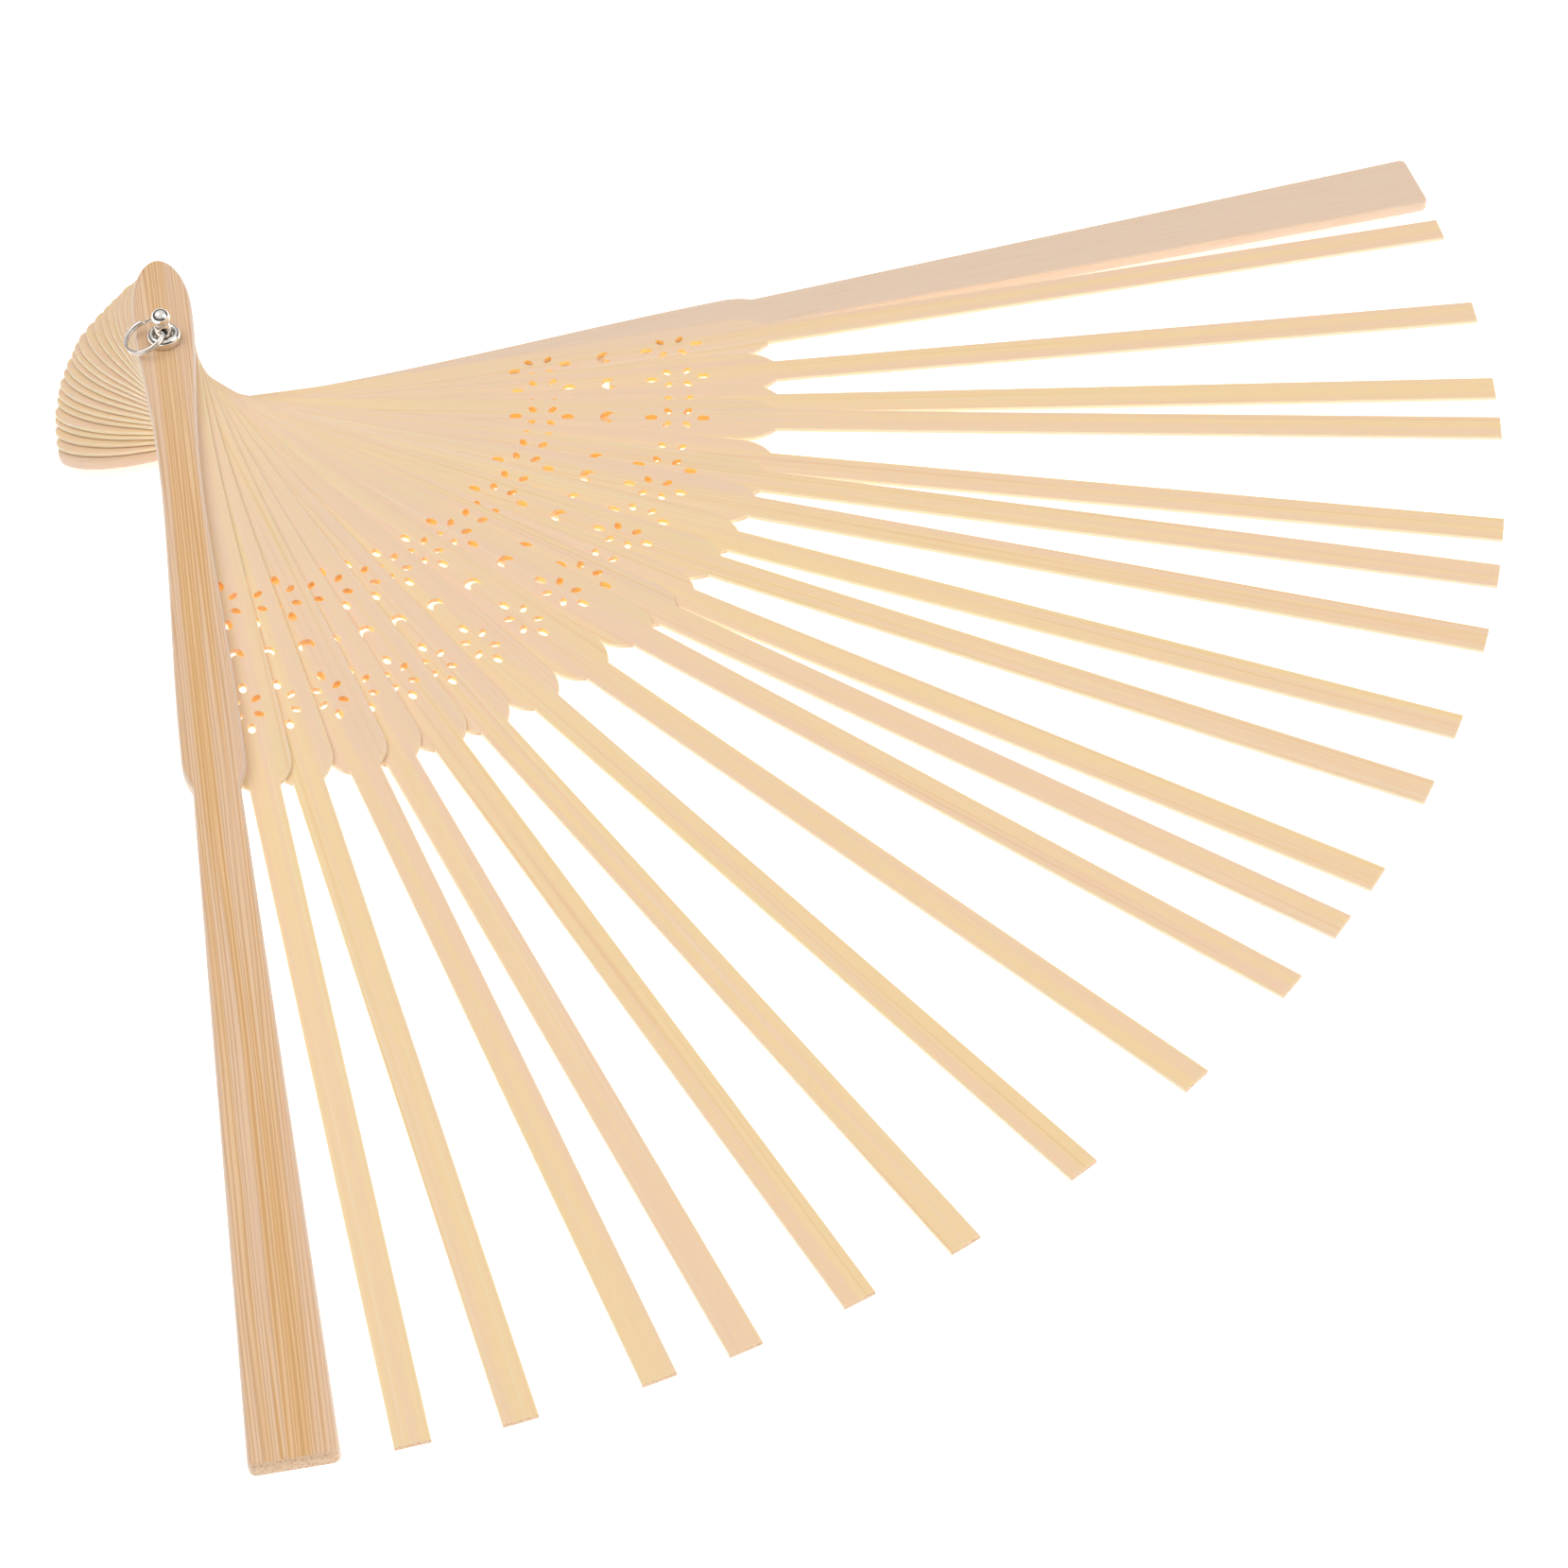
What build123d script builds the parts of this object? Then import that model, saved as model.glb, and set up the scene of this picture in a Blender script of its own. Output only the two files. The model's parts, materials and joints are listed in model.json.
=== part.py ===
from build123d import *
import os
from math import cos, radians, sin

# Bare bamboo folding-fan frame, stored part open: two guards, twenty pierced ribs, and the
# rivet that holds them, with a small split ring in the eye of its knob. Millimetres.
# Frame: +Z runs along the rivet from the rear guard to the front guard, and the origin is the
# centre of the flat rear face of the rivet. The rear guard points roughly along +X and the
# front guard along -Y. Every stick is drawn along +X from the rivet and then turned to its place.

# Sticks, shared sizes
REACH = 192.0            # rivet centre to the tip of a rib
HEAD = 18.2              # rivet centre to the round end of a stick
HEAD_WIDEST = 7.0        # how far behind the rivet the head is widest
HEAD_HALF = 4.35         # half width there
NECK = 16.0              # where a stick is narrowest, ahead of the rivet
GUARD_EXTRA = 0.6        # how far the guards run past the tips of the ribs
BORE_RADIUS = 1.25       # rivet hole in every stick
SHOULDER_START = 83.0    # where the wide pierced part begins to round off
SHOULDER_END = 87.6      # where the slim blade begins
GORGE_HALF = 4.2         # half width of the pierced part at the shoulder

# Ribs
RIBS = 20
RIB_THICK = 0.70
RIB_NECK_HALF = 3.65     # half width at the narrowest, a little above the rivet
RIB_BLADE_HALF = 2.03
RIB_TIP_HALF = 2.17
RIB_EDGE = 0.22          # rounding of the long edges
RIB_CORNER = 0.35        # rounding of the corners seen from above

# Guards
GUARD_THICK = 2.2
GUARD_NECK_HALF = 3.2
GUARD_BLADE_HALF = 3.1
GUARD_TIP_HALF = 5.3
GUARD_EDGE = 0.8         # rounding of the edges of the outer face
GUARD_INNER_EDGE = 0.25  # rounding of the edges of the inner face
GUARD_CORNER = 1.4
GUARD_TIP_CORNER = 1.0   # rounding of the two corners of the tip, seen from above

# Pierced pattern of a rib: a flower, a crescent and a second flower, in line
FLOWERS = (53.4, 73.2)   # distance of each flower's centre from the rivet
PETAL_OUT = 3.8          # the two petals in line with the rib
PETAL_IN = (1.45, 1.4)   # the four petals beside them, along and across the rib
PETAL_LONG = (0.92, 0.54)
PETAL_SHORT = (0.76, 0.50)
CRESCENT = 63.1
CRESCENT_RADIUS = 1.15
CRESCENT_BITE = 0.75

# Stack
GAP = 0.04               # running gap between neighbours
PITCH = RIB_THICK + GAP

# Rest angles: the openings between neighbouring sticks in degrees, front guard first. The frame
# has no leaf, so they are uneven. The rear guard lies 5 degrees past +X.
REST_GAPS = (4, 3.75, 5, 3.25, 4.5, 4.5, 5.5, 6, 6, 3.75, 3,
             5.25, 4, 5.25, 4, 3, 6.5, 2.75, 5.25, 6, 3.75)
REAR_ANGLE = 5.0

# Rivet and ring
SHANK_RADIUS = 1.2
CAP_RADIUS = 2.5
CAP_HEIGHT = 1.0
CAP_RIM = 0.35
SOCKET_DEPTH = 0.7
FIT = 0.01               # radial room between the rivet's own pieces
WASHER_RADIUS = 2.9
WASHER_THICK = 0.35
COLLAR_RADIUS = 2.4
COLLAR_RIM = 0.5         # height where its straight side ends
COLLAR_CREST = 1.85      # radius of its highest circle
COLLAR_HEIGHT = 1.5
GROOVE_RADIUS = 1.31     # the collar dips to here around the post
GROOVE_HEIGHT = 0.9
EYE_HEIGHT = 2.45        # centre of the eye above the front guard
EYE_RADIUS = 0.66
BALL_HEIGHT = 4.2        # centre of the ball above the front guard
BALL_RADIUS = 1.35
RING_RADIUS = 2.95       # centre line of the split ring
WIRE_RADIUS = 0.22
WIRE_APART = 0.38        # the two coils of the split ring, centre to centre
RING_AZIMUTH = 190.0     # where the ring lies, seen from above
RING_DROP = 19.0         # how far it hangs below level, just clear of the guard that sweeps under it

# Heights of the stack, from the rear face of the rivet up
WASHER_Z = CAP_HEIGHT
REAR_Z = WASHER_Z + WASHER_THICK + GAP
RIBS_Z = REAR_Z + GUARD_THICK + GAP
FRONT_Z = RIBS_Z + RIBS * PITCH
FACE_Z = FRONT_Z + GUARD_THICK
COLLAR_Z = FACE_Z + GAP
EYE_Z = FACE_Z + EYE_HEIGHT
BALL_Z = FACE_Z + BALL_HEIGHT


def stick_face(neck, blade, tip, reach, corner):
    """Outline of a stick along +X: round head, waist, wide gorge, shoulders and slim blade."""
    start, widest, gorge_end = (-HEAD, 0), (-HEAD_WIDEST, HEAD_HALF), (SHOULDER_START, GORGE_HALF)
    pull = 0.55  # makes the curve of the nose close to a quarter of an ellipse
    above = (-HEAD, pull * HEAD_HALF)
    behind = (-HEAD_WIDEST - pull * (HEAD - HEAD_WIDEST), HEAD_HALF)
    nose = Bezier(start, above, behind, widest)
    side = Spline([widest, (NECK, neck), gorge_end], tangents=[(1, 0), (1, 0)])
    shoulder = TangentArc(gorge_end, (SHOULDER_END, blade), tangent=(1, 0))
    edge = Line((SHOULDER_END, blade), (reach, tip))
    half = Curve() + [nose, side, shoulder, edge]
    end = Line((reach, tip), (reach, -tip))
    outline = make_face(half + mirror(half, about=Plane.XZ) + end)
    inner_corners = outline.vertices().filter_by(lambda v: abs(v.X - SHOULDER_END) < 0.01)
    return fillet(inner_corners, corner)


def level_edges(stick, z):
    """The edges of an unpierced stick that lie at height z."""
    return stick.edges().filter_by_position(Axis.Z, z - 0.001, z + 0.001)


def bore(thick):
    return Pos(0, 0, thick / 2) * Cylinder(BORE_RADIUS, thick * 2)


def flower():
    """Six petals round an empty middle, longer along the rib than across it."""
    along, across = PETAL_IN
    petals = [Pos(side * PETAL_OUT, 0) * Ellipse(*PETAL_LONG) for side in (-1, 1)]
    for x_side in (-1, 1):
        for y_side in (-1, 1):
            lean = 50 * x_side * y_side
            petals.append(Pos(x_side * along, y_side * across) * Rot(0, 0, lean) * Ellipse(*PETAL_SHORT))
    return Sketch() + petals


def crescent():
    """A fat crescent with its horns towards the tip of the rib."""
    return Circle(CRESCENT_RADIUS) - Pos(CRESCENT_BITE, 0) * Circle(CRESCENT_BITE)


def rib():
    outline = stick_face(RIB_NECK_HALF, RIB_BLADE_HALF, RIB_TIP_HALF, REACH, RIB_CORNER)
    body = extrude(outline, RIB_THICK)
    for z in (0, RIB_THICK):
        long_edges = level_edges(body, z).filter_by(lambda edge: edge.center().X < REACH - 0.01)
        body = fillet(long_edges, RIB_EDGE)
    pattern = Sketch() + [Pos(x, 0) * flower() for x in FLOWERS] + Pos(CRESCENT, 0) * crescent()
    piercing = extrude(Pos(0, 0, -1) * pattern, RIB_THICK + 2)
    return body - piercing - bore(RIB_THICK)


def guard():
    """A guard with its rounded outer face up and its flat inner face at z = 0."""
    reach = REACH + GUARD_EXTRA
    outline = stick_face(GUARD_NECK_HALF, GUARD_BLADE_HALF, GUARD_TIP_HALF, reach, GUARD_CORNER)
    tip_corners = outline.vertices().filter_by(lambda v: v.X > reach - 0.01)
    body = extrude(fillet(tip_corners, GUARD_TIP_CORNER), GUARD_THICK)
    body = fillet(level_edges(body, GUARD_THICK), GUARD_EDGE)
    body = fillet(level_edges(body, 0), GUARD_INNER_EDGE)
    return body - bore(GUARD_THICK)


def disc(radius, low, high):
    return Pos(0, 0, (low + high) / 2) * Cylinder(radius, high - low)


def rear_cap():
    """Flat-faced cap pressed on the rear end of the post."""
    cap = disc(CAP_RADIUS, 0, CAP_HEIGHT)
    cap = fillet(cap.edges().sort_by(Axis.Z)[0], CAP_RIM)
    return cap - disc(SHANK_RADIUS + FIT, CAP_HEIGHT - SOCKET_DEPTH, CAP_HEIGHT + 1)


def rear_washer():
    top = WASHER_Z + WASHER_THICK
    return disc(WASHER_RADIUS, WASHER_Z, top) - disc(SHANK_RADIUS + FIT, 0, top + 1)


def front_collar():
    """Domed collar that bears on the front guard, with a groove around the post."""
    inner = SHANK_RADIUS + FIT
    rim = (COLLAR_RADIUS, COLLAR_RIM)
    crest = (COLLAR_CREST, COLLAR_HEIGHT)
    groove = (GROOVE_RADIUS, GROOVE_HEIGHT)
    outside = ThreePointArc(rim, (2.24, 1.2), crest)
    inside = ThreePointArc(crest, (1.47, 1.33), groove)
    rest = Polyline(groove, (inner, GROOVE_HEIGHT), (inner, 0), (COLLAR_RADIUS, 0), rim)
    section = Plane.XZ * make_face(Curve() + [outside, inside, rest])
    return Pos(0, 0, COLLAR_Z) * revolve(section, Axis.Z)


def rivet_post():
    """Shank through the whole stack, with an eye through its neck and a ball on top."""
    post = disc(SHANK_RADIUS, CAP_HEIGHT - SOCKET_DEPTH, BALL_Z)
    post += Pos(0, 0, BALL_Z) * Sphere(BALL_RADIUS)
    eye = Pos(0, 0, EYE_Z) * Rot(0, 0, RING_AZIMUTH) * Rot(90, 0, 0) * Cylinder(EYE_RADIUS, 10)
    return post - eye


def split_ring():
    """Two coils of round wire lying on each other, threaded through the eye."""
    coils = [Pos(RING_RADIUS, side * WIRE_APART / 2) * Circle(WIRE_RADIUS) for side in (-1, 1)]
    ring = revolve(Plane.XZ * (Sketch() + coils), Axis.Z)
    lying = Rot(0, RING_DROP, 0) * Pos(RING_RADIUS, 0, 0) * ring
    return Pos(0, 0, EYE_Z) * Rot(0, 0, RING_AZIMUTH) * lying


def rest_angles():
    """Direction of every stick at rest, front guard first and rear guard last."""
    angles = [REAR_ANGLE - sum(REST_GAPS)]
    for gap in REST_GAPS:
        angles.append(angles[-1] + gap)
    return angles


def build():
    angles = rest_angles()
    one_rib = rib()
    one_guard = guard()
    parts = {}
    parts["front_guard"] = Pos(0, 0, FRONT_Z) * Rot(0, 0, angles[0]) * one_guard
    for number in range(1, RIBS + 1):
        height = RIBS_Z + (RIBS - number) * PITCH
        parts[f"rib_{number:02d}"] = Pos(0, 0, height) * Rot(0, 0, angles[number]) * one_rib
    turned_over = Pos(0, 0, REAR_Z + GUARD_THICK) * Rot(0, 0, angles[-1]) * Rot(180, 0, 0)
    parts["rear_guard"] = turned_over * one_guard
    parts["rivet_post"] = rivet_post()
    parts["front_collar"] = front_collar()
    parts["rear_washer"] = rear_washer()
    parts["rear_cap"] = rear_cap()
    parts["split_ring"] = split_ring()
    return parts


os.makedirs("parts", exist_ok=True)
for name, shape in build().items():
    shape.label = name
    export_step(shape, f"parts/{name}.step")
swing = radians(RING_AZIMUTH - 90)
print(f"eye at z {EYE_Z:.3f}, ring axis ({cos(swing):.4f}, {sin(swing):.4f}, 0)")
print(f"front face at z {FACE_Z:.3f}, stack {PITCH * RIBS + 2 * GUARD_THICK:.2f} mm")
print(f"closed length {HEAD + REACH + GUARD_EXTRA:.1f} mm, widest tip spread {REACH * radians(150):.0f} mm")
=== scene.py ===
"""Looks of the bare bamboo folding-fan frame: bamboo sticks, nickel rivet and split ring.

Everything is in metres in the CAD frame: +Z runs up the rivet, the rear guard points roughly
along +X and the front guard along -Y. Sticks keep their CAD shape; grain follows each stick.
"""

import json
from math import atan2, cos, pi, radians, sin

import bmesh
import bpy
from mathutils import Matrix, Vector


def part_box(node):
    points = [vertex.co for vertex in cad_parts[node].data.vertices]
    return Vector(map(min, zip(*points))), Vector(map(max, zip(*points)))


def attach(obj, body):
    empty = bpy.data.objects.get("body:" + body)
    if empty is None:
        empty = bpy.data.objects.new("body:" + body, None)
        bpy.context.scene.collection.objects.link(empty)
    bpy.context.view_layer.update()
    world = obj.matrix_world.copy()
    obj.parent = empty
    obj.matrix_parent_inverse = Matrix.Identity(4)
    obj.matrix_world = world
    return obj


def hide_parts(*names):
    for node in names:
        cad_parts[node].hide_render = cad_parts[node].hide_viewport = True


MM = 0.001

# Camera: a 94 mm lens on a 36 mm frame, looking down past the front guard
LENS = 94.4
CAMERA_PLACE = Vector((20.4, -454.6, 413.0)) * MM
HEADING = radians(8.36)      # right of +Y
LOOK_DOWN = radians(47.8)
ROLL = radians(-2.36)

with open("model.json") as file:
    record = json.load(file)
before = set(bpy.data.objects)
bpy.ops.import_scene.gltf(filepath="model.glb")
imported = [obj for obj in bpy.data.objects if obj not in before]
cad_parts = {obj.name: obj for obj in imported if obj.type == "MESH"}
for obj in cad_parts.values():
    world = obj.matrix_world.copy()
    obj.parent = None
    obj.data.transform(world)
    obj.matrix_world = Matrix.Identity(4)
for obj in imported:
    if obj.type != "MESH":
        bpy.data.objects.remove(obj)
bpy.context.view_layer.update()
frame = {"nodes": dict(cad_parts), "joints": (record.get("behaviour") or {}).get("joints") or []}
nodes = frame["nodes"]
RIBS = [name for name in sorted(nodes) if name.startswith("rib_")]
SHARP = radians(35)          # edges sharper than this are shaded as edges

# The eye of the knob, which the ring swings in
ring_joint = next(joint for joint in frame["joints"] if joint["name"] == "ring_swing")
EYE = Vector(ring_joint["pos_m"])
HINGE = Vector(ring_joint["axis"])
EYE_RADIUS = 0.66 * MM
EYE_EASE = 0.05 * MM
EYE_CUT = 8 * MM             # length of the cut, through the whole neck and past it

# Split ring: one wire, wound almost twice
WIRE_RADIUS = 0.22 * MM
COILS_APART = 0.44 * MM
WIRE_START = radians(140)    # where the wire begins, from the far side of the ring
WIRE_TURN = radians(2 * 360 - 42)
CLIMB = radians(36)          # over which it steps from the lower coil to the upper
WIRE_DOME = ((0.8, 0.35), (0.45, 0.55))    # width and height of its domed ends, over its radius
RING_STEPS = 220

# Rivet: the sizes that the boxes of the CAD nodes don't give
SHANK_RADIUS = 1.2 * MM
POST_FOOT = 0.3 * MM         # height of the post's hidden end, inside the cap
BALL_RADIUS = 1.35 * MM
NECK_STEP = 0.1 * MM         # the shank narrows by this just under the ball,
NECK_START = 0.45 * MM       # from this far under it
NECK_END = 0.12 * MM         # to this far
BORE_RADIUS = SHANK_RADIUS + 0.02 * MM
COLLAR_FOOT = 0.12 * MM      # rounding of the collar's lower rim
COLLAR_RIM = 0.5 * MM        # height where its upright side ends
COLLAR_CREST = 1.85 * MM     # radius of its highest circle
GROOVE_RADIUS = 1.31 * MM    # it dips to here around the post
GROOVE_HEIGHT = 0.9 * MM
WASHER_EASE = 0.08 * MM      # eased edges of the washer and of the cap's upper rim
CAP_RIM = 0.35 * MM
DISH_DEPTH = 0.06 * MM       # shallow dish in the middle of the cap
DISH_RADIUS = 0.75 * MM
DISH_RIM = 0.9 * MM


def srgb(red, green, blue):
    """Linear colour of an 8-bit display colour."""
    parts = []
    for level in (red, green, blue):
        share = level / 255
        parts.append(share / 12.92 if share <= 0.04045 else ((share + 0.055) / 1.055) ** 2.4)
    return (*parts, 1.0)


# ---------------------------------------------------------------- shader helpers

class Shader:
    """A material whose nodes are added by name and fed with numbers or other nodes' sockets."""

    def __init__(self, name):
        self.material = bpy.data.materials.new(name)
        self.material.use_nodes = True
        self.tree = self.material.node_tree
        self.surface = self.tree.nodes["Principled BSDF"]

    def add(self, kind, inputs=None, **settings):
        node = self.tree.nodes.new("ShaderNode" + kind)
        for key, value in settings.items():
            setattr(node, key, value)
        for key, value in (inputs or {}).items():
            self.feed(node.inputs[key], value)
        return node

    def feed(self, socket, value):
        if isinstance(value, bpy.types.NodeSocket):
            self.tree.links.new(value, socket)
        else:
            socket.default_value = value

    def set(self, **inputs):
        """Feeds the surface's own sockets, named with underscores for spaces."""
        for key, value in inputs.items():
            self.feed(self.surface.inputs[key.replace("_", " ")], value)

    def math(self, operation, *values, clamp=False):
        return self.add("Math", dict(enumerate(values)), operation=operation, use_clamp=clamp).outputs[0]

    def vector(self, operation, *values):
        return self.add("VectorMath", dict(enumerate(values)), operation=operation).outputs[0]

    def part(self, vector, axis):
        return self.add("SeparateXYZ", {"Vector": vector}).outputs[axis]

    def size(self, vector, axis):
        """One component of a vector, without its sign."""
        return self.math("ABSOLUTE", self.part(vector, axis))

    def noise(self, place, scale, detail=2.0, rough=0.5):
        inputs = {"Vector": place, "Scale": scale, "Detail": detail, "Roughness": rough}
        return self.add("TexNoise", inputs).outputs["Fac"]

    def step(self, value, low, high, to_low=0.0, to_high=1.0):
        """Smooth step from low to high."""
        inputs = {"Value": value, "From Min": low, "From Max": high, "To Min": to_low, "To Max": to_high}
        return self.add("MapRange", inputs, interpolation_type="SMOOTHSTEP").outputs[0]

    def mix(self, share, first, second):
        """First colour where the share is 0, second where it is 1."""
        node = self.add("Mix", data_type="RGBA", clamp_factor=True)
        self.feed(node.inputs[0], share)
        self.feed(node.inputs[6], first)
        self.feed(node.inputs[7], second)
        return node.outputs[2]

    def bump(self, height, distance, strength):
        inputs = {"Height": height, "Distance": distance, "Strength": strength}
        return self.add("Bump", inputs).outputs["Normal"]


# ---------------------------------------------------------------- bamboo

RIB_BASE = srgb(240, 214, 165)
RIB_PINK = srgb(238, 208, 178)
RIB_LINE = srgb(232, 194, 138)
RIB_PALE = srgb(241, 227, 202)
# painted highlight for the rib's side faces and rounded edges
RIB_EDGE_HIGHLIGHT = srgb(253, 236, 208)
# painted light: warm base colour for the piercings' walls and what lies under them
PAINTED_GLOW = srgb(255, 216, 132)
GLOW_LIGHT = srgb(255, 178, 84)   # painted light, given off as faint emission: what shines through the thin bamboo into the piercings
GUARD_GOLD = srgb(225, 177, 118)
GUARD_PALE = srgb(229, 195, 165)
GUARD_DARK = srgb(208, 159, 104)
GUARD_LINE = srgb(240, 205, 163)
# painted highlight for the guard's rounded edges
GUARD_EDGE_HIGHLIGHT = srgb(232, 210, 193)
GUARD_INNER = srgb(231, 206, 182)
END_PALE = srgb(226, 194, 160)
END_DOT = srgb(196, 150, 114)
WAVER = 0.6 * MM             # the fibres wander sideways within this
DOTS_APART = 0.33 * MM       # from one dot to the next in the end grain
BUNDLES_APART = 0.5 * MM     # from one fibre bundle to the next on a guard
PATTERN_MIDDLE = 63.3 * MM   # middle of the pierced pattern of a rib, from the rivet
PATTERN_REACH = 15.0 * MM    # how far the pattern runs either way along the rib
PATTERN_HALF = 2.5 * MM      # and how far to either side
FRONT_SEED = 31              # the ribs have the seeds 1 to 20
REAR_SEED = 32


def stick_turn(node):
    """Direction of a stick from the rivet, from the middle of its far end."""
    points = [v.co.xy for v in node.data.vertices]
    far = max(p.length for p in points)
    tip = sum((p for p in points if p.length > far * 0.995), Vector((0, 0)))
    return atan2(tip.y, tip.x)


def stick_place(shader, turn, seed):
    """Position along, across and through the stick, in metres, and a copy moved by the seed."""
    at = shader.add("TexCoord").outputs["Object"]
    mapping = shader.add("Mapping", {"Vector": at, "Rotation": (0, 0, -turn)})
    straight = mapping.outputs[0]
    moved = shader.vector("ADD", straight, (0.37 * seed, 0.11 * seed, 0.053 * seed))
    waver = shader.noise(shader.vector("MULTIPLY", moved, (25, 60, 60)), 1.0, 1.0)
    shift = shader.math("MULTIPLY", shader.math("SUBTRACT", waver, 0.5), WAVER)
    offset = shader.add("CombineXYZ", {"Y": shift}).outputs[0]
    return straight, shader.vector("ADD", moved, offset)


def fibres(shader, place, across, along, detail=2.0, rough=0.5):
    """Noise drawn out along the stick. across and along are the sizes of its features in metres."""
    scaled = shader.vector("MULTIPLY", place, (1 / along, 1 / across, 1 / across))
    return shader.noise(scaled, 1.0, detail, rough)


def end_grain(shader, colour, straight, turn):
    """Colour of a stick with the dots of cut fibres on its square-cut end."""
    normal = shader.add("TexCoord").outputs["Normal"]
    ahead = shader.add("VectorMath", {0: normal, 1: (cos(turn), sin(turn), 0)}, operation="DOT_PRODUCT")
    cells = shader.vector("MULTIPLY", straight, (0, 1 / DOTS_APART, 1 / DOTS_APART))
    dots = shader.add("TexVoronoi", {"Vector": cells, "Scale": 1.0}).outputs["Distance"]
    cut = shader.mix(shader.step(dots, 0.5, 0.15), END_PALE, END_DOT)
    return shader.mix(shader.step(ahead.outputs["Value"], 0.4, 0.85), colour, cut)


def finish_bamboo(shader, colour, grain, gloss_low, gloss_high):
    """Surface settings that every stick shares."""
    shader.set(
        Base_Color=colour,
        Roughness=shader.step(grain, 0.3, 0.7, gloss_low, gloss_high),
        Normal=shader.bump(grain, 0.02 * MM, 0.5),
        Specular_IOR_Level=0.4,
        Coat_Weight=0.12,
        Coat_Roughness=0.35,
        Subsurface_Weight=0.3,
        Subsurface_Radius=(1.0, 0.62, 0.3),
        Subsurface_Scale=0.7 * MM,
    )
    return shader.material


def rib_bamboo(name, turn, seed):
    """Thin rib: cream, with fine fibres, a few orange and pale lines, painted highlights on its edges, and
    warm light painted into its piercings.
    """
    shader = Shader(name)
    straight, place = stick_place(shader, turn, seed)
    broad = fibres(shader, place, 1.8 * MM, 130 * MM, 2.0)
    lines = fibres(shader, place, 0.45 * MM, 120 * MM, 2.0)
    fine = fibres(shader, place, 0.14 * MM, 14 * MM, 3.0, 0.6)
    along = shader.part(straight, "X")
    towards_rivet = shader.step(along, 100 * MM, 70 * MM)
    own = 0.12 * sin(5.1 * seed) + 0.06 * sin(2.3 * seed)    # sets each rib apart from the next
    pink = shader.step(broad, 0.38, 0.62, own, 0.75 + own)
    pink = shader.math("MULTIPLY_ADD", towards_rivet, 0.35, pink, clamp=True)
    colour = shader.mix(pink, RIB_BASE, RIB_PINK)
    colour = shader.mix(shader.step(lines, 0.60, 0.70, 0.0, 0.55), colour, RIB_LINE)
    colour = shader.mix(shader.step(lines, 0.40, 0.30, 0.0, 0.3), colour, RIB_PALE)
    colour = shader.mix(shader.step(fine, 0.55, 0.75, 0.0, 0.25), colour, RIB_LINE)
    open_sky = shader.add("AmbientOcclusion", {"Distance": 2.5 * MM}, samples=8).outputs["AO"]
    facing = shader.size(shader.add("TexCoord").outputs["Normal"], "Z")
    # painted highlight: the rib's side faces and rounded edges are made paler, standing in for light caught
    # on and shining through its thin edges
    colour = shader.mix(shader.step(facing, 0.95, 0.5, 0.0, 0.8), colour, RIB_EDGE_HIGHLIGHT)
    from_flowers = shader.math("ABSOLUTE", shader.math("SUBTRACT", along, PATTERN_MIDDLE))
    pierced = shader.step(from_flowers, PATTERN_REACH + 2 * MM, PATTERN_REACH)
    inward = shader.step(shader.size(straight, "Y"), PATTERN_HALF + 0.5 * MM, PATTERN_HALF)
    walls = shader.math("MULTIPLY", shader.step(facing, 0.6, 0.3), inward)
    deep = shader.step(open_sky, 0.5, 0.38)                  # painted light where little sky is open, as at the bottom of a hole
    # painted light: the piercings' walls and the occluded surfaces under them get a warm orange base colour
    # and a faint orange emission, standing in for light shining through the thin bamboo
    painted_glow_mask = shader.math("MULTIPLY", pierced, shader.math("MAXIMUM", walls, deep))
    colour = shader.mix(painted_glow_mask, colour, PAINTED_GLOW)
    shader.set(Emission_Color=shader.mix(painted_glow_mask, (0, 0, 0, 1), GLOW_LIGHT), Emission_Strength=0.15)
    colour = end_grain(shader, colour, straight, turn)
    return finish_bamboo(shader, colour, fine, 0.42, 0.6)


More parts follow.
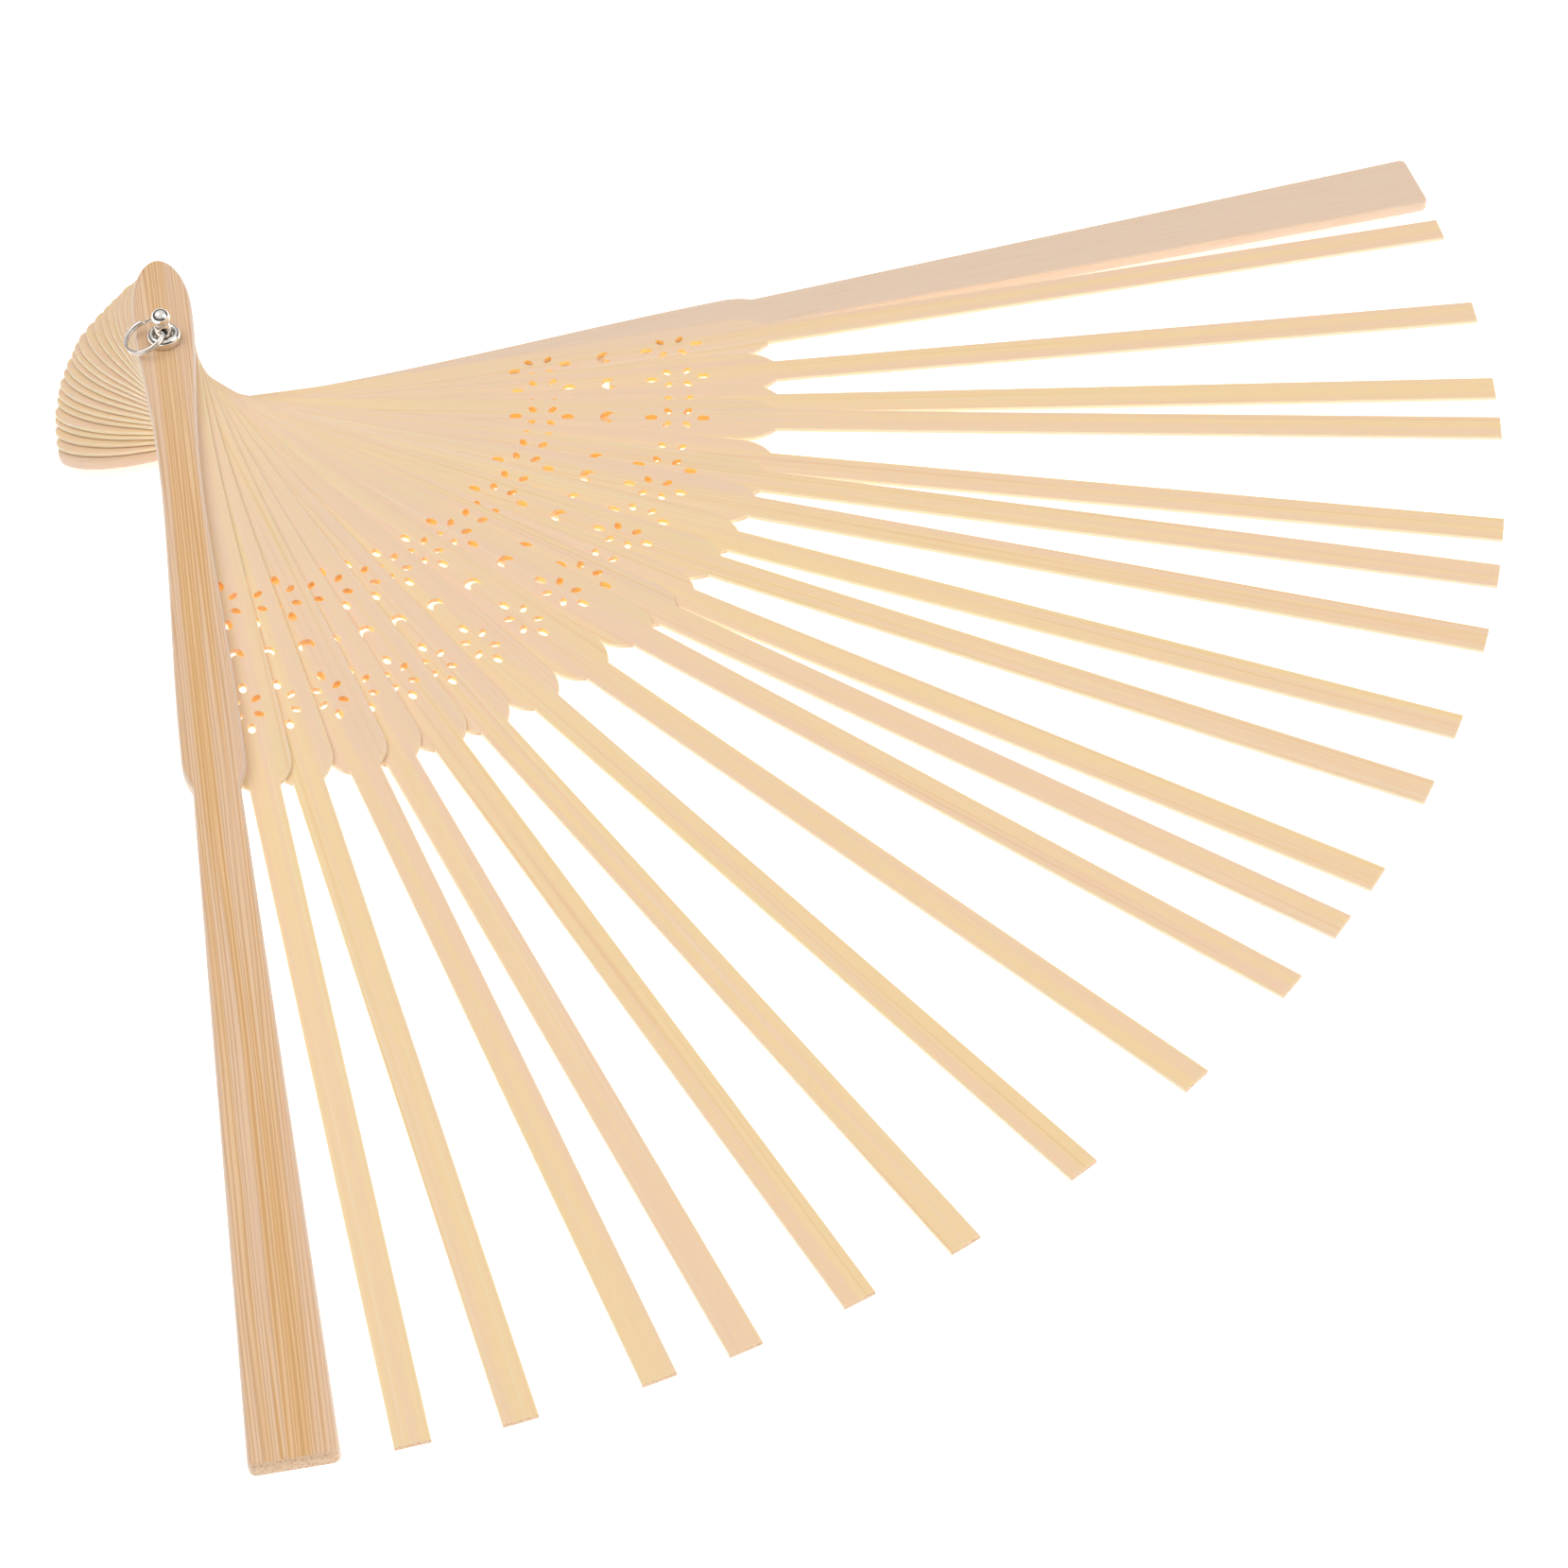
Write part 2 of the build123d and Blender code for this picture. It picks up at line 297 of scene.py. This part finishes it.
def guard_bamboo(name, turn, seed, inner, outer):
    """Thick guard: golden and closely streaked towards its outer face, with painted highlights on its
    rounded edges, pale and plain towards the inner.
    """
    shader = Shader(name)
    straight, place = stick_place(shader, turn, seed)
    broad = fibres(shader, place, 1.0 * MM, 90 * MM, 2.0)
    drift = fibres(shader, place, 1.1 * MM, 70 * MM, 1.0)
    strong = fibres(shader, place, 0.7 * MM, 35 * MM, 1.0)
    fine = fibres(shader, place, 0.13 * MM, 12 * MM, 3.0, 0.6)
    drift = shader.math("MULTIPLY", drift, 16.0)
    phase = shader.math("MULTIPLY_ADD", shader.part(place, "Y"), 2 * pi / BUNDLES_APART, drift)
    wave = shader.math("MULTIPLY", shader.math("SINE", phase), shader.step(strong, 0.3, 0.6, 0.5, 1.0))
    along = shader.part(straight, "X")
    height = shader.part(straight, "Z")
    thickness = outer - inner
    skin = shader.step(height, inner + 0.25 * thickness, inner + 0.7 * thickness)
    facing = shader.size(shader.add("TexCoord").outputs["Normal"], "Z")
    aside = shader.step(shader.size(straight, "Y"), 1.2 * MM, 4.6 * MM, 0.0, 0.75)
    towards_tip = shader.step(along, -10 * MM, 60 * MM, 0.6, 1.0)
    golden = shader.math("MULTIPLY", shader.step(broad, 0.36, 0.56), towards_tip)
    golden = shader.math("SUBTRACT", golden, aside, clamp=True)
    gold = shader.mix(golden, GUARD_PALE, GUARD_GOLD)
    gold = shader.mix(shader.step(wave, 0.1, 0.9, 0.0, 0.65), gold, GUARD_LINE)
    gold = shader.mix(shader.step(wave, -0.1, -0.9, 0.0, 0.6), gold, GUARD_DARK)
    # painted highlight: the guard's rounded edges and side faces are made pale pinkish-grey, standing in
    # for the light they catch
    gold = shader.mix(shader.step(facing, 0.97, 0.6, 0.0, 0.85), gold, GUARD_EDGE_HIGHLIGHT)
    plain = shader.mix(shader.step(wave, -0.5, 0.9, 0.0, 0.2), GUARD_INNER, GUARD_PALE)
    colour = shader.mix(skin, plain, gold)
    colour = shader.mix(shader.step(fine, 0.5, 0.75, 0.0, 0.3), colour, GUARD_DARK)
    colour = end_grain(shader, colour, straight, turn)
    return finish_bamboo(shader, colour, fine, 0.4, 0.58)


# ---------------------------------------------------------------- metal

NICKEL = srgb(232, 227, 221)
NICKEL_MARK = srgb(224, 217, 209)


def nickel(name, rough):
    """Polished nickel with faint cloudy marks."""
    shader = Shader(name)
    at = shader.add("TexCoord").outputs["Object"]
    marks = shader.noise(at, 900.0, 2.0)
    shader.set(
        Base_Color=shader.mix(shader.step(marks, 0.4, 0.7), NICKEL, NICKEL_MARK),
        Metallic=1.0,
        Roughness=shader.step(marks, 0.35, 0.75, rough, rough + 0.05),
    )
    return shader.material


def new_piece(name, shape, material, body, *stands_for):
    """Makes a piece from a bmesh, smooth except at sharp edges, in place of CAD nodes."""
    mesh = bpy.data.meshes.new(name)
    bmesh.ops.recalc_face_normals(shape, faces=shape.faces)
    for face in shape.faces:
        face.smooth = True
    for edge in shape.edges:
        edge.smooth = len(edge.link_faces) == 2 and edge.calc_face_angle() < SHARP
    shape.to_mesh(mesh)
    shape.free()
    mesh.materials.append(material)
    piece = bpy.data.objects.new(name, mesh)
    bpy.context.scene.collection.objects.link(piece)
    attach(piece, body)
    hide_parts(*stands_for)
    return piece


def arc(centre, radius, start, end, steps):
    """Points of an arc in the (radius, height) plane, from start to end degrees."""
    turns = [radians(start + (end - start) * step / steps) for step in range(steps + 1)]
    return [(centre[0] + radius * cos(turn), centre[1] + radius * sin(turn)) for turn in turns]


def bridge(shape, lower, upper):
    """Faces between two closed rings of points, either of which may be a single point."""
    around = max(len(lower), len(upper))
    for here in range(around):
        there = (here + 1) % around
        corners = [lower[here % len(lower)], lower[there % len(lower)],
                   upper[there % len(upper)], upper[here % len(upper)]]
        shape.faces.new(list(dict.fromkeys(corners)))


def lathe(profile, around=72):
    """Body of revolution about Z, from a profile of (radius, height) points in metres."""
    shape = bmesh.new()
    rings = []
    for radius, height in profile:
        if radius < 1e-6:
            rings.append([shape.verts.new((0, 0, height))])
            continue
        turns = [2 * pi * step / around for step in range(around)]
        rings.append([shape.verts.new((radius * cos(t), radius * sin(t), height)) for t in turns])
    for lower, upper in zip(rings, rings[1:]):
        bridge(shape, lower, upper)
    return shape


def tube(path, up, radius, around=14):
    """Round wire along an open path, with domed ends. up is nearly square to the path."""
    shape = bmesh.new()
    rings = []
    last = len(path) - 1
    for step, point in enumerate(path):
        ahead = (path[min(step + 1, last)] - path[max(step - 1, 0)]).normalized()
        side = ahead.cross(up).normalized()
        over = side.cross(ahead)
        turns = [2 * pi * share / around for share in range(around)]
        rings.append([shape.verts.new(point + radius * (cos(t) * side + sin(t) * over)) for t in turns])
    for lower, upper in zip(rings, rings[1:]):
        bridge(shape, lower, upper)
    for ring, point, inner in ((rings[0], path[0], path[1]), (rings[-1], path[-1], path[-2])):
        out = (point - inner).normalized()
        outer = ring
        for scale, push in WIRE_DOME:
            smaller = [shape.verts.new(point + (v.co - point) * scale + out * radius * push) for v in ring]
            bridge(shape, outer, smaller)
            outer = smaller
        shape.faces.new(outer)
    return shape


def split_ring():
    """One wire wound almost twice round, stepping from the lower coil to the upper where it starts."""
    low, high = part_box("split_ring")
    centre = (low + high) / 2
    out = centre - EYE
    radius = out.length
    out.normalize()
    hinge = HINGE.normalized()
    up = hinge.cross(out).normalized()
    path = []
    for step in range(RING_STEPS + 1):
        turn = WIRE_TURN * step / RING_STEPS
        climbed = min(max((turn - 2 * pi + CLIMB) / CLIMB, 0), 1)
        height = (climbed * climbed * (3 - 2 * climbed) - 0.5) * COILS_APART
        at = WIRE_START + turn
        path.append(centre + radius * (cos(at) * out + sin(at) * hinge) + height * up)
    wire = tube(path, up, WIRE_RADIUS)
    new_piece("ring_wire", wire, nickel("ring_nickel", 0.08), "split_ring", "split_ring")


def drill_eye(knob):
    """Cuts the eye through the neck of the knob and rounds its rim."""
    shape = bmesh.new()
    bmesh.ops.create_cone(shape, cap_ends=True, segments=48, radius1=EYE_RADIUS, radius2=EYE_RADIUS,
                          depth=EYE_CUT)
    turn = HINGE.to_track_quat("Z", "Y").to_matrix().to_4x4()
    bmesh.ops.transform(shape, matrix=Matrix.Translation(EYE) @ turn, verts=shape.verts)
    cutter = bpy.data.objects.new("cutter", bpy.data.meshes.new("cutter"))
    shape.to_mesh(cutter.data)
    shape.free()
    bpy.context.scene.collection.objects.link(cutter)
    bore = knob.modifiers.new("eye", "BOOLEAN")
    bore.object = cutter
    bore.solver = "EXACT"
    rim = knob.modifiers.new("rim", "BEVEL")
    rim.width = EYE_EASE
    rim.segments = 3
    rim.angle_limit = radians(50)
    graph = bpy.context.evaluated_depsgraph_get()
    knob.data = bpy.data.meshes.new_from_object(knob.evaluated_get(graph))
    knob.modifiers.clear()
    bpy.data.objects.remove(cutter)


def post():
    """Shank, neck with its eye, and ball."""
    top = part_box("rivet_post")[1].z
    middle = top - BALL_RADIUS
    waist = SHANK_RADIUS - NECK_STEP
    neck = middle - (BALL_RADIUS ** 2 - waist ** 2) ** 0.5
    profile = [
        (0, POST_FOOT),
        (SHANK_RADIUS, POST_FOOT),
        (SHANK_RADIUS, EYE.z - 0.9 * MM),    # this point and the next keep the shading even by the eye
        (SHANK_RADIUS, EYE.z),
        (SHANK_RADIUS, neck - NECK_START),
        (waist, neck - NECK_END),
    ]
    start = atan2(neck - middle, waist) * 180 / pi
    profile += arc((0, middle), BALL_RADIUS, start, 90, 28)[:-1] + [(0, top)]
    drill_eye(new_piece("knob_post", lathe(profile), nickel("knob_nickel", 0.05), "rivet", "rivet_post"))


def collar():
    """Domed collar with a groove around the post."""
    foot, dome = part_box("front_collar")
    face, wide, top = foot.z, dome.x, dome.z
    profile = [(BORE_RADIUS, face), (wide - COLLAR_FOOT, face)]
    profile += arc((wide - COLLAR_FOOT, face + COLLAR_FOOT), COLLAR_FOOT, -90, 0, 5)
    for turn in (radians(6 * step) for step in range(16)):
        profile.append((COLLAR_CREST + (wide - COLLAR_CREST) * cos(turn),
                        face + COLLAR_RIM + (top - face - COLLAR_RIM) * sin(turn)))
    for turn in (radians(9 * step) for step in range(1, 11)):
        profile.append((COLLAR_CREST - (COLLAR_CREST - GROOVE_RADIUS) * sin(turn),
                        face + GROOVE_HEIGHT + (top - face - GROOVE_HEIGHT) * cos(turn)))
    profile += [(BORE_RADIUS, face + GROOVE_HEIGHT), (BORE_RADIUS, face)]
    new_piece("collar_dome", lathe(profile), nickel("collar_nickel", 0.07), "rivet", "front_collar")


def washer():
    """Flat washer with eased edges, behind the rear guard."""
    foot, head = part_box("rear_washer")
    low, high, wide = foot.z, head.z, head.x
    profile = [
        (BORE_RADIUS, low),
        (wide - WASHER_EASE, low),
        (wide, low + WASHER_EASE),
        (wide, high - WASHER_EASE),
        (wide - WASHER_EASE, high),
        (BORE_RADIUS, high),
        (BORE_RADIUS, low),
    ]
    new_piece("back_washer", lathe(profile), nickel("washer_nickel", 0.16), "rivet", "rear_washer")


def cap():
    """Pressed cap with a shallow dish in its rear face."""
    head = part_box("rear_cap")[1]
    wide, top = head.x, head.z
    profile = [(0, DISH_DEPTH), (DISH_RADIUS, DISH_DEPTH), (DISH_RIM, 0), (wide - CAP_RIM, 0)]
    profile += arc((wide - CAP_RIM, CAP_RIM), CAP_RIM, -90, 0, 8)
    profile += [
        (wide, top - WASHER_EASE),
        (wide - WASHER_EASE, top),
        (BORE_RADIUS, top),
        (BORE_RADIUS, POST_FOOT),
        (0, POST_FOOT),
    ]
    new_piece("back_cap", lathe(profile), nickel("cap_nickel", 0.12), "rivet", "rear_cap")


# ---------------------------------------------------------------- dress the CAD pieces

def dress(node, material):
    """Gives a CAD node one material in place of its own."""
    node.data.materials.clear()
    node.data.materials.append(material)


for seed, name in enumerate(RIBS, 1):
    dress(nodes[name], rib_bamboo(name + "_bamboo", stick_turn(nodes[name]), seed))
front, rear = nodes["front_guard"], nodes["rear_guard"]
front_low, front_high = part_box("front_guard")
rear_low, rear_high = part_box("rear_guard")
dress(front, guard_bamboo("front_guard_bamboo", stick_turn(front), FRONT_SEED, front_low.z, front_high.z))
dress(rear, guard_bamboo("rear_guard_bamboo", stick_turn(rear), REAR_SEED, rear_high.z, rear_low.z))
post()
collar()
washer()
cap()
split_ring()


# ---------------------------------------------------------------- floor, lights and camera

FLOOR_HALF = 6.0             # half a side of the table top, in metres
FLOOR_DROP = 0.02 * MM       # keeps it just clear of the rivet's flat face
FAN_MIDDLE = (0.05, -0.05, 0)
SKY_LOW = (0.25, 0.05)       # height, from 0 at the horizon to 1 overhead, and grey level
SKY_HIGH = (0.75, 1.0)


def floor():
    """A plain white table top under the rivet's flat face, faintly lit from within."""
    mesh = bpy.data.meshes.new("floor")
    shape = bmesh.new()
    bmesh.ops.create_grid(shape, x_segments=1, y_segments=1, size=FLOOR_HALF)
    shape.to_mesh(mesh)
    shape.free()
    table = bpy.data.objects.new("floor", mesh)
    table.location.z = -FLOOR_DROP
    bpy.context.scene.collection.objects.link(table)
    shader = Shader("white_table")
    at = shader.add("TexCoord").outputs["Object"]
    tone = shader.noise(at, 40.0, 2.0)
    shader.set(
        Base_Color=shader.mix(tone, srgb(250, 250, 250), srgb(246, 246, 246)),
        Roughness=0.8,
        Emission_Color=(1, 1, 1, 1),
        Emission_Strength=0.6,
    )
    mesh.materials.append(shader.material)


def softbox(name, place, size, power):
    """A round lamp of the given diameter and watts, aimed at the middle of the fan."""
    light = bpy.data.lights.new(name, "AREA")
    light.shape = "DISK"
    light.size = size
    light.energy = power
    holder = bpy.data.objects.new(name, light)
    holder.location = place
    holder.rotation_euler = (Vector(FAN_MIDDLE) - Vector(place)).to_track_quat("-Z", "Y").to_euler()
    bpy.context.scene.collection.objects.link(holder)


def sky():
    """White studio ceiling that darkens towards the horizon, so that polished metal has contrast."""
    world = bpy.data.worlds.new("studio")
    world.use_nodes = True
    tree = world.node_tree
    at = tree.nodes.new("ShaderNodeTexCoord")
    split = tree.nodes.new("ShaderNodeSeparateXYZ")
    ramp = tree.nodes.new("ShaderNodeValToRGB")
    tree.links.new(at.outputs["Generated"], split.inputs[0])
    tree.links.new(split.outputs["Z"], ramp.inputs[0])
    tree.links.new(ramp.outputs[0], tree.nodes["Background"].inputs["Color"])
    for stop, (height, grey) in zip(ramp.color_ramp.elements, (SKY_LOW, SKY_HIGH)):
        stop.position = height
        stop.color = (grey, grey, grey, 1)
    tree.nodes["Background"].inputs["Strength"].default_value = 0.95
    bpy.context.scene.world = world


def camera():
    """Looks down on the fan from in front, a little turned and tilted."""
    data = bpy.data.cameras.new("camera")
    data.lens = LENS
    data.clip_start = 0.01
    eye = bpy.data.objects.new("camera", data)
    turn = Matrix.Rotation(-HEADING, 4, "Z") @ Matrix.Rotation(pi / 2 - LOOK_DOWN, 4, "X")
    eye.matrix_world = Matrix.Translation(CAMERA_PLACE) @ turn @ Matrix.Rotation(ROLL, 4, "Z")
    bpy.context.scene.collection.objects.link(eye)
    bpy.context.scene.camera = eye


floor()
softbox("key", (-0.5, 0.1, 0.9), 0.7, 2.2)
softbox("fill", (0.9, -0.3, 0.5), 0.9, 3.0)
sky()
camera()
bpy.context.scene.view_settings.view_transform = "Standard"
